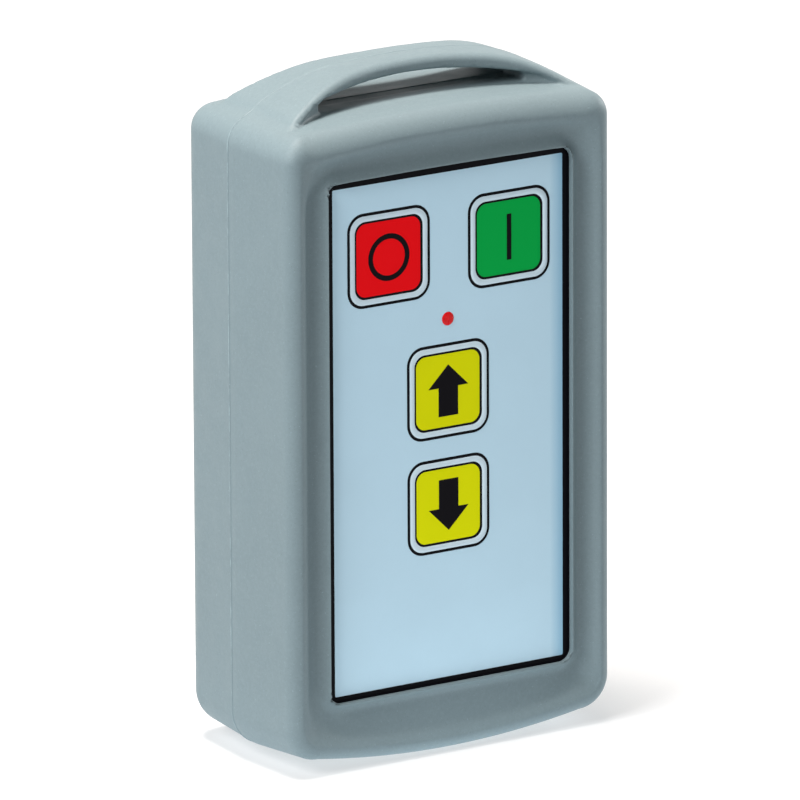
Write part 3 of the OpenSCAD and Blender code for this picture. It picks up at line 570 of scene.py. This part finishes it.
def boot_distance(x, y, z):
    """Signed distance from the rubber boot's surface, in millimetres, nearly exact close to it."""
    side = outline_distance(x, z) + DRAFT * np.abs(y - PARTING_Y) / half_depth(y) - bead(x, y)
    body = round_max(side, FRONT_Y - y, front_radius(x, z))
    body = round_max(body, FRAME_SCALE * (front_surface(x, z) - y), FRAME_FILLET)
    body = round_max(body, y - HALF_D, REAR_R)
    both = round_min(body, strap_distance(x, y, z), ROOT_FILLET)
    both = round_max(both, -slot_distance(x, y, z), SLOT_RIM)
    window = window_distance(x, z)
    both = round_max(both, -np.maximum(window, y - WINDOW_END_Y), LIP_ROUND)
    cavity = box_distance(x, z, CASE_HALF_W, CASE_HALF_H, CASE_MID_Z, CASE_R)
    cavity = np.maximum(cavity, np.maximum(CAVITY_Y - y, y - CAVITY_BACK_Y))
    both = round_max(both, -cavity, CAVITY_EDGE)
    return round_max(both, -z, FOOT_EDGE)


def graded(stops, unit):
    """Grid lines through (place, step) stops: each step holds from its place to the next stop."""
    lines = []
    for (start, step), (end, _) in zip(stops, stops[1:]):
        count = max(1, round((end - start) / (step * unit)))
        lines.extend(np.linspace(start, end, count, endpoint=False))
    return np.array(lines + [stops[-1][0]])


def mirrored(lines):
    """Grid lines on both sides of their first one, which is at 0."""
    return np.concatenate([-lines[:0:-1], lines])


def surface_net(field, axes):
    """Quads over the zero level of a field on graded grid lines: one point per crossed cell."""
    shape = np.array(field.shape) - 1
    total, count = np.zeros((int(np.prod(shape)), 3)), np.zeros(int(np.prod(shape)))
    quads = []
    for axis in range(3):
        near = [slice(None)] * 3
        far = [slice(None)] * 3
        near[axis], far[axis] = slice(None, -1), slice(1, None)
        f0, f1 = field[tuple(near)], field[tuple(far)]
        at = np.argwhere((f0 < 0) != (f1 < 0))
        a, b = f0[tuple(at.T)], f1[tuple(at.T)]
        place = np.stack([axes[k][at[:, k]] for k in range(3)], 1)
        step = axes[axis][at[:, axis] + 1] - axes[axis][at[:, axis]]
        place[:, axis] += step * a / (a - b)
        u, v = (axis + 1) % 3, (axis + 2) % 3
        around = []
        for du, dv in ((-1, -1), (0, -1), (0, 0), (-1, 0)):
            cell = at.copy()
            cell[:, u] += du
            cell[:, v] += dv
            flat = np.ravel_multi_index(cell.T, shape)
            around.append(flat)
            count += np.bincount(flat, minlength=len(count))
            for k in range(3):
                total[:, k] += np.bincount(flat, place[:, k], minlength=len(count))
        loop = np.stack(around, 1)
        loop[a >= 0] = loop[a >= 0][:, ::-1]
        quads.append(loop)
    used = np.flatnonzero(count)
    number = np.full(len(count), -1)
    number[used] = np.arange(len(used))
    return total[used] / count[used, None], number[np.concatenate(quads)]


def slope_of(distance, p, h):
    """Gradient of a distance function at points, over h to each side."""
    out = np.empty_like(p)
    for k in range(3):
        up, down = p.copy(), p.copy()
        up[:, k] += h
        down[:, k] -= h
        out[:, k] = (distance(*up.T) - distance(*down.T)) / (2 * h)
    return out


def along_parting(x, y):
    """Grid depth y moved so that its fine lines follow the parting line."""
    return y + parting(x) * (1 - smooth_step(np.abs(y - PARTING_Y) / PARTING_FADE))


def make_boot():
    """The boot in one mesh: a surface net of its distance function, moved onto the surface."""
    unit = GRID_UNIT
    xs, ys, zs = mirrored(graded(GRID_X, unit)), graded(GRID_Y, unit), graded(GRID_Z, unit)
    place = np.meshgrid(xs, ys, zs, indexing="ij")
    place[1] = along_parting(*place[:2])
    points, quads = surface_net(boot_distance(*place), (xs, ys, zs))
    points[:, 1] = along_parting(*points.T[:2])
    for _ in range(MOVES):
        slope = slope_of(boot_distance, points, MOVE_H)
        steep = np.maximum((slope ** 2).sum(1), LEAST_SLOPE)[:, None]
        move = -boot_distance(*points.T)[:, None] * slope / steep
        length = np.maximum(np.linalg.norm(move, axis=1), 1e-9)[:, None]
        points += move * np.minimum(1, LONGEST_MOVE / length)
    normals = slope_of(boot_distance, points, NORMAL_H)
    normals /= np.linalg.norm(normals, axis=1)[:, None]
    new_piece("boot_rubber", points, quads.tolist(), [MATERIALS["rubber_boot"]], "housing",
              "rubber_boot", normals=normals)


make_boot()


# ---------------------------------------------------------------- keypad film and keys

# Steps round a quarter of a rounded shape, of the O, and of the field's and the I's corners
ROUND_STEPS, RING_STEPS, FEW_STEPS = 10, 24, 2
# Key: half width and corner radius, how far its edge is rounded inwards and backwards, width of
# its black outer line, and the gap round it
KEY_HALF, KEY_R, EDGE_IN, EDGE_BACK, LINE_W, FILM_GAP = 8.95, 3.4, 0.05, 0.03, 0.56, 0.03
# Embossed band: outer and inner half width, corner radii there, height, and the shape and the
# number of steps of its arch
BAND_OUT, BAND_IN, BAND_OUT_R, BAND_IN_R, BAND_H = 8.4, 7.36, KEY_R - LINE_W, 2.25, 0.16
ARCH_POWER, ARCH_STEPS = 0.8, 8
# Coloured square: half width, corner radius, shift from the key's middle, and the square that
# the fan of faces in its middle fills
FACE_HALF, FACE_R, FACE_SHIFT, HUB_HALF, HUB_R = 6.92, 2.0, (-0.1, 0.03), 3, 1
# Heights above the film's face: the coloured square, the band's foot and the outer black line
FACE_RISE, BAND_FOOT, LINE_RISE = 0.05, 0.03, 0.02
# Stem: radius, size of the cone at its root and of the bevel at its end
STEM_R, STEM_ROOT, STEM_BEVEL = 2.5, 0.2, 0.3
# Depth of the film's face, thickness of the film and height of its print
FACE_Y, FILM_T, INK_H = -17.05, 0.6, 0.02
# Pale blue field: half width and height, middle, corner radius
FIELD_HALF_W, FIELD_HALF_H, FIELD_X, FIELD_Z, FIELD_R = 25.02, 48.04, 0.08, 62.2, 0.25
# Raised rim of the black border: its inner edge's distance from the boot's opening, its height,
# and its gap to the opening
RIM_W, RIM_H, RIM_GAP = 0.2, 0.2, 0.02
# Status light: radius, height of its dome, gap round it, and how far behind the film its neck
# ends and its flange starts
LENS_R, LENS_H, LENS_GAP, LENS_NECK, LENS_FLANGE = 1.28, 0.25, 0.02, 0.05, 0.1
# Symbols: radii of the O, half width, half height and corner radius of the I, and the arrow's
# half length, half head width, neck height and half shaft width
O_RADII, I_SIZES, ARROW_SIZES = (4.46, 3.46), (0.5, 4.35, 0.02), (4.88, 4.35, 0.6, 2.13)


def round_square(half_w, half_h, r, x, z, steps=ROUND_STEPS):
    """Points of a rounded rectangle, going round from its right side upwards."""
    out = []
    for k, (sx, sz) in enumerate(((1, 1), (-1, 1), (-1, -1), (1, -1))):
        for i in range(steps + 1):
            a = math.radians(90 * (k + i / steps))
            out.append((x + sx * (half_w - r) + r * math.cos(a),
                        z + sz * (half_h - r) + r * math.sin(a)))
    return out


def circle(r, x, z, steps=ROUND_STEPS):
    """The same count of points as round_square has, on a circle."""
    return round_square(r, r, r, x, z, steps)


def middle_of(loop, y):
    """Mean point of a loop, at a depth."""
    return sum(p[0] for p in loop) / len(loop), y, sum(p[1] for p in loop) / len(loop)


def loft(rings):
    """Closed solid through (loop, y, material) rings from front centre to back centre. A ring's
    material is that of the band that leads to it from the ring before."""
    count = len(rings[0][0])
    points = [middle_of(*rings[0][:2])]
    faces, mats = [], []
    for loop, y, _ in rings:
        points.extend((x, y, z) for x, z in loop)
    for i in range(count):
        faces.append((0, 1 + i, 1 + (i + 1) % count))
        mats.append(rings[0][2])
    for j in range(1, len(rings)):
        low, high = 1 + (j - 1) * count, 1 + j * count
        for i in range(count):
            k = (i + 1) % count
            faces.append((low + i, high + i, high + k, low + k))
            mats.append(rings[j][2])
    last = 1 + (len(rings) - 1) * count
    points.append(middle_of(*rings[-1][:2]))
    for i in range(count):
        faces.append((last + i, len(points) - 1, last + (i + 1) % count))
        mats.append(rings[-1][2])
    return points, faces, mats


def prism(loops, y0, y1, mat):
    """Flat solid of one outer loop and its holes, between two depths, with its front at y0."""
    points2, edges = [], []
    for loop in loops:
        base = len(points2)
        points2.extend(loop)
        edges.extend((base + i, base + (i + 1) % len(loop)) for i in range(len(loop)))
    flat, _, tris, _, _, _ = delaunay_2d_cdt([Vector(p) for p in points2], edges, [], 0, 1e-6)
    tris = [t for t in tris if in_loops(sum((flat[i] for i in t), Vector((0, 0))) / 3, loops)]
    n = len(flat)
    points = [(p.x, y0, p.y) for p in flat] + [(p.x, y1, p.y) for p in flat]
    faces = [tuple(t) for t in tris] + [tuple(n + i for i in reversed(t)) for t in tris]
    rim = {}
    for t in tris:
        for i in range(3):
            e = (t[i], t[(i + 1) % 3])
            rim[e] = rim.get(e, 0) + 1
    for a, b in [e for e in rim if (e[1], e[0]) not in rim]:
        faces.append((b, a, n + a, n + b))
    return points, faces, [mat] * len(faces)


def in_loops(p, loops):
    """True if a point is inside an odd number of loops."""
    inside = False
    for loop in loops:
        for i, (ax, az) in enumerate(loop):
            bx, bz = loop[i - 1]
            if (az > p[1]) != (bz > p[1]) and p[0] < (bx - ax) * (p[1] - az) / (bz - az) + ax:
                inside = not inside
    return inside


def joined(parts):
    """Points, faces and materials of several solids in one."""
    points, faces, mats = [], [], []
    for p, f, m in parts:
        base = len(points)
        points.extend(p)
        faces.extend(tuple(base + i for i in face) for face in f)
        mats.extend(m)
    return points, faces, mats


def centre(node):
    """Middle of a CAD node's box seen from the front."""
    low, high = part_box(node)
    return (low.x + high.x) / 2 / MM, (low.z + high.z) / 2 / MM


def arrow(x, z, way):
    """Arrow that points up (way 1) or down (way -1)."""
    half, head, neck, shaft = ARROW_SIZES
    shape = [(0, half), (-head, neck), (-shaft, neck), (-shaft, -half), (shaft, -half),
             (shaft, neck), (head, neck)]
    return [[(x + px, z + way * pz) for px, pz in (shape if way > 0 else shape[::-1])]]


def symbol(kind, x, z):
    """Loops of the symbol on a key."""
    if kind == "stop":
        return [circle(r, x, z, RING_STEPS) for r in O_RADII]
    if kind == "start":
        return [round_square(*I_SIZES, x, z, FEW_STEPS)]
    return arrow(x, z, 1 if kind == "up" else -1)


def make_key(kind):
    """A key of the film: coloured square, embossed pale band, black lines, symbol and stem."""
    x, z = centre(kind + "_key")
    back = FACE_Y + FILM_T
    stem_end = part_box(kind + "_key")[1].y / MM
    sx, sz = x + FACE_SHIFT[0], z + FACE_SHIFT[1]
    face, black, pale, ink = range(4)
    rings = [(round_square(HUB_HALF, HUB_HALF, HUB_R, sx, sz), FACE_Y - FACE_RISE, face),
             (round_square(FACE_HALF, FACE_HALF, FACE_R, sx, sz), FACE_Y - FACE_RISE, face),
             (round_square(BAND_IN, BAND_IN, BAND_IN_R, x, z), FACE_Y - BAND_FOOT, black)]
    for i in range(1, ARCH_STEPS + 1):
        t = i / ARCH_STEPS
        half = BAND_IN + (BAND_OUT - BAND_IN) * t
        r = BAND_IN_R + (BAND_OUT_R - BAND_IN_R) * t
        height = BAND_H * math.sin(math.pi * t) ** ARCH_POWER if t < 1 else 0.0
        rings.append((round_square(half, half, r, x, z), FACE_Y - BAND_FOOT - height, pale))
    inner, outer = KEY_HALF - EDGE_IN, KEY_HALF
    rings += [(round_square(inner, inner, KEY_R - EDGE_IN, x, z), FACE_Y - LINE_RISE, black),
              (round_square(outer, outer, KEY_R, x, z), FACE_Y + EDGE_BACK, black),
              (round_square(outer, outer, KEY_R, x, z), back, black),
              (circle(STEM_R + STEM_ROOT, x, z), back, black),
              (circle(STEM_R, x, z), back + STEM_ROOT, black),
              (circle(STEM_R, x, z), stem_end - STEM_BEVEL, black),
              (circle(STEM_R - STEM_BEVEL, x, z), stem_end, black)]
    mark = prism(symbol(kind, x, z), FACE_Y - FACE_RISE - INK_H, FACE_Y, ink)
    points, faces, mats = joined([loft(rings), mark])
    films = [KEY_FILMS[kind], BLACK_FILM, PALE_FILM, INK]
    piece = new_piece(kind + "_key_film", points, faces, films, kind + "_button",
                      kind + "_key", mats)
    for polygon in piece.data.polygons:
        polygon.use_smooth = polygon.material_index == pale
    return x, z


def make_lens():
    """Status light: a low red dome with a stem and a flange behind the film."""
    x, z = centre("status_lens")
    low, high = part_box("status_lens")
    flange, back = (high.x - low.x) / 2 / MM, high.y / MM
    dome = [(circle(LENS_R * math.sin(math.radians(a)), x, z),
             FACE_Y - LENS_H * math.cos(math.radians(a)), 0) for a in range(15, 91, 15)]
    rings = dome + [(circle(LENS_R, x, z), FACE_Y + FILM_T + LENS_NECK, 0),
                    (circle(flange, x, z), FACE_Y + FILM_T + LENS_FLANGE, 0),
                    (circle(flange, x, z), back, 0)]
    points, faces, _ = loft(rings)
    piece = new_piece("status_dome", points, faces, [MATERIALS["status_lens"]], "housing",
                      "status_lens")
    for polygon in piece.data.polygons:
        polygon.use_smooth = all(points[i][1] <= FACE_Y for i in polygon.vertices)


def make_film():
    """Keypad film round its keys: raised black rim, black border, and the pale blue field with
    holes for the keys and the status light."""
    keys = [make_key(kind) for kind in ("stop", "start", "up", "down")]
    lens_x, lens_z = centre("status_lens")
    hole = KEY_HALF + FILM_GAP
    holes = [round_square(hole, hole, KEY_R + FILM_GAP, x, z) for x, z in keys]
    holes.append(circle(LENS_R + LENS_GAP, lens_x, lens_z))
    field = round_square(FIELD_HALF_W, FIELD_HALF_H, FIELD_R, FIELD_X, FIELD_Z, FEW_STEPS)
    edge, line = (round_square(WINDOW_HALF_W - d, WINDOW_HALF_H - d, WINDOW_R - d, 0, WINDOW_MID_Z)
                  for d in (RIM_GAP, RIM_W))
    rim = prism([edge, line], FACE_Y - RIM_H, FACE_Y + FILM_T, 1)
    border = prism([line, field], FACE_Y, FACE_Y + FILM_T, 1)
    inner = prism([field] + holes, FACE_Y, FACE_Y + FILM_T, 0)
    points, faces, mats = joined([rim, border, inner])
    new_piece("keypad_film", points, faces, [BLUE_FILM, BLACK_FILM], "housing",
              "keypad_overlay", mats)


make_film()
make_lens()


# ---------------------------------------------------------------- stage

# Floor: half its size, the white of its paper and its glow where it is seen, the white that it
# bounces light on the object with, and its fill light near the foot and past FILL_REACH
FLOOR_HALF, FLOOR_SEEN, FLOOR_GLOW, FLOOR_BOUNCE = 4.0, 0.4, 0.55, 0.2
FILL_NEAR, FILL_FAR, FILL_REACH, FILL_TINT = 1.98, 0.75, 0.075, (0.88, 1, 1.08, 1)
# Soft lamps, all turned to LAMP_TARGET: place, side, watts and tint
LAMP_TARGET = Vector((0, 0, 0.06))
LAMPS = {
    "key_softbox": ((-1.07, -0.27, 0.93), 0.6, 16.3, (0.98, 1, 1.02)),
    "top_softbox": ((-0.15, 0.06, 1.45), 0.4, 26.6, (1.06, 1, 0.95)),
    "left_softbox": ((-1.33, 0.24, 0.42), 0.6, 3, (1, 1, 1)),
    "right_softbox": ((1.36, 0, 0.4), 0.5, 12, (1, 1, 1)),
}


def seen_rays(tree):
    """1 for rays that show the backdrop: from the camera, off a gloss or through a clear part."""
    rays = tree.nodes.new("ShaderNodeLightPath").outputs
    seen = rays["Is Camera Ray"]
    for other in ("Is Glossy Ray", "Is Transmission Ray"):
        seen = add_math(tree, "MAXIMUM", seen, rays[other])
    return seen


def make_world():
    """White where it or its reflection is seen, and no other light on the object."""
    world = bpy.data.worlds.new("studio")
    bpy.context.scene.world = world
    world.use_nodes = True
    tree = world.node_tree
    background = tree.nodes["Background"]
    background.inputs["Color"].default_value = (1, 1, 1, 1)
    tree.links.new(seen_rays(tree), background.inputs["Strength"])


def add_sum(tree, *shaders):
    """Output of two shader nodes added up."""
    node = tree.nodes.new("ShaderNodeAddShader")
    for socket, shader in zip(node.inputs, shaders):
        tree.links.new(shader.outputs[0], socket)
    return node.outputs[0]


def make_floor():
    """White paper. Where it is seen, more than half of its white is its own, so that the shadow
    stays pale. On the object it casts a little bounce and a fill that is strongest at the foot."""
    mesh = bpy.data.meshes.new("floor")
    h = FLOOR_HALF
    mesh.from_pydata([(-h, -h, 0), (h, -h, 0), (h, h, 0), (-h, h, 0)], [], [(0, 1, 2, 3)])
    floor = bpy.data.objects.new("floor", mesh)
    bpy.context.scene.collection.objects.link(floor)
    mat = bpy.data.materials.new("floor_white")
    mat.use_nodes = True
    tree = mat.node_tree
    tree.nodes.remove(tree.nodes["Principled BSDF"])
    paper = add_node(tree, "ShaderNodeBsdfDiffuse", Color=(FLOOR_SEEN,) * 3 + (1,))
    glow = add_node(tree, "ShaderNodeEmission", Strength=FLOOR_GLOW)
    bounce = add_node(tree, "ShaderNodeBsdfDiffuse", Color=(FLOOR_BOUNCE,) * 3 + (1,))
    place = tree.nodes.new("ShaderNodeNewGeometry").outputs["Position"]
    away = add_node(tree, "ShaderNodeVectorMath", Vector=place)
    away.operation = "LENGTH"
    level = add_ramp(tree, away.outputs["Value"], 0, FILL_REACH, FILL_NEAR, FILL_FAR, "SMOOTHSTEP")
    fill = add_node(tree, "ShaderNodeEmission", Color=FILL_TINT, Strength=level)
    mix = tree.nodes.new("ShaderNodeMixShader")
    tree.links.new(seen_rays(tree), mix.inputs[0])
    tree.links.new(add_sum(tree, bounce, fill), mix.inputs[1])
    tree.links.new(add_sum(tree, paper, glow), mix.inputs[2])
    tree.links.new(mix.outputs[0], tree.nodes["Material Output"].inputs["Surface"])
    mesh.materials.append(mat)


def make_lamp(name, place, side, watts, tint):
    """Square soft lamp."""
    data = bpy.data.lights.new(name, "AREA")
    data.shape = "RECTANGLE"
    data.size = data.size_y = side
    data.energy = watts
    data.color = tint
    lamp = bpy.data.objects.new(name, data)
    bpy.context.scene.collection.objects.link(lamp)
    lamp.location = place
    lamp.rotation_euler = (LAMP_TARGET - Vector(place)).to_track_quat("-Z", "Y").to_euler()


bpy.context.scene.view_settings.view_transform = "Standard"
make_world()
make_floor()
for lamp_name, lamp_values in LAMPS.items():
    make_lamp(lamp_name, *lamp_values)
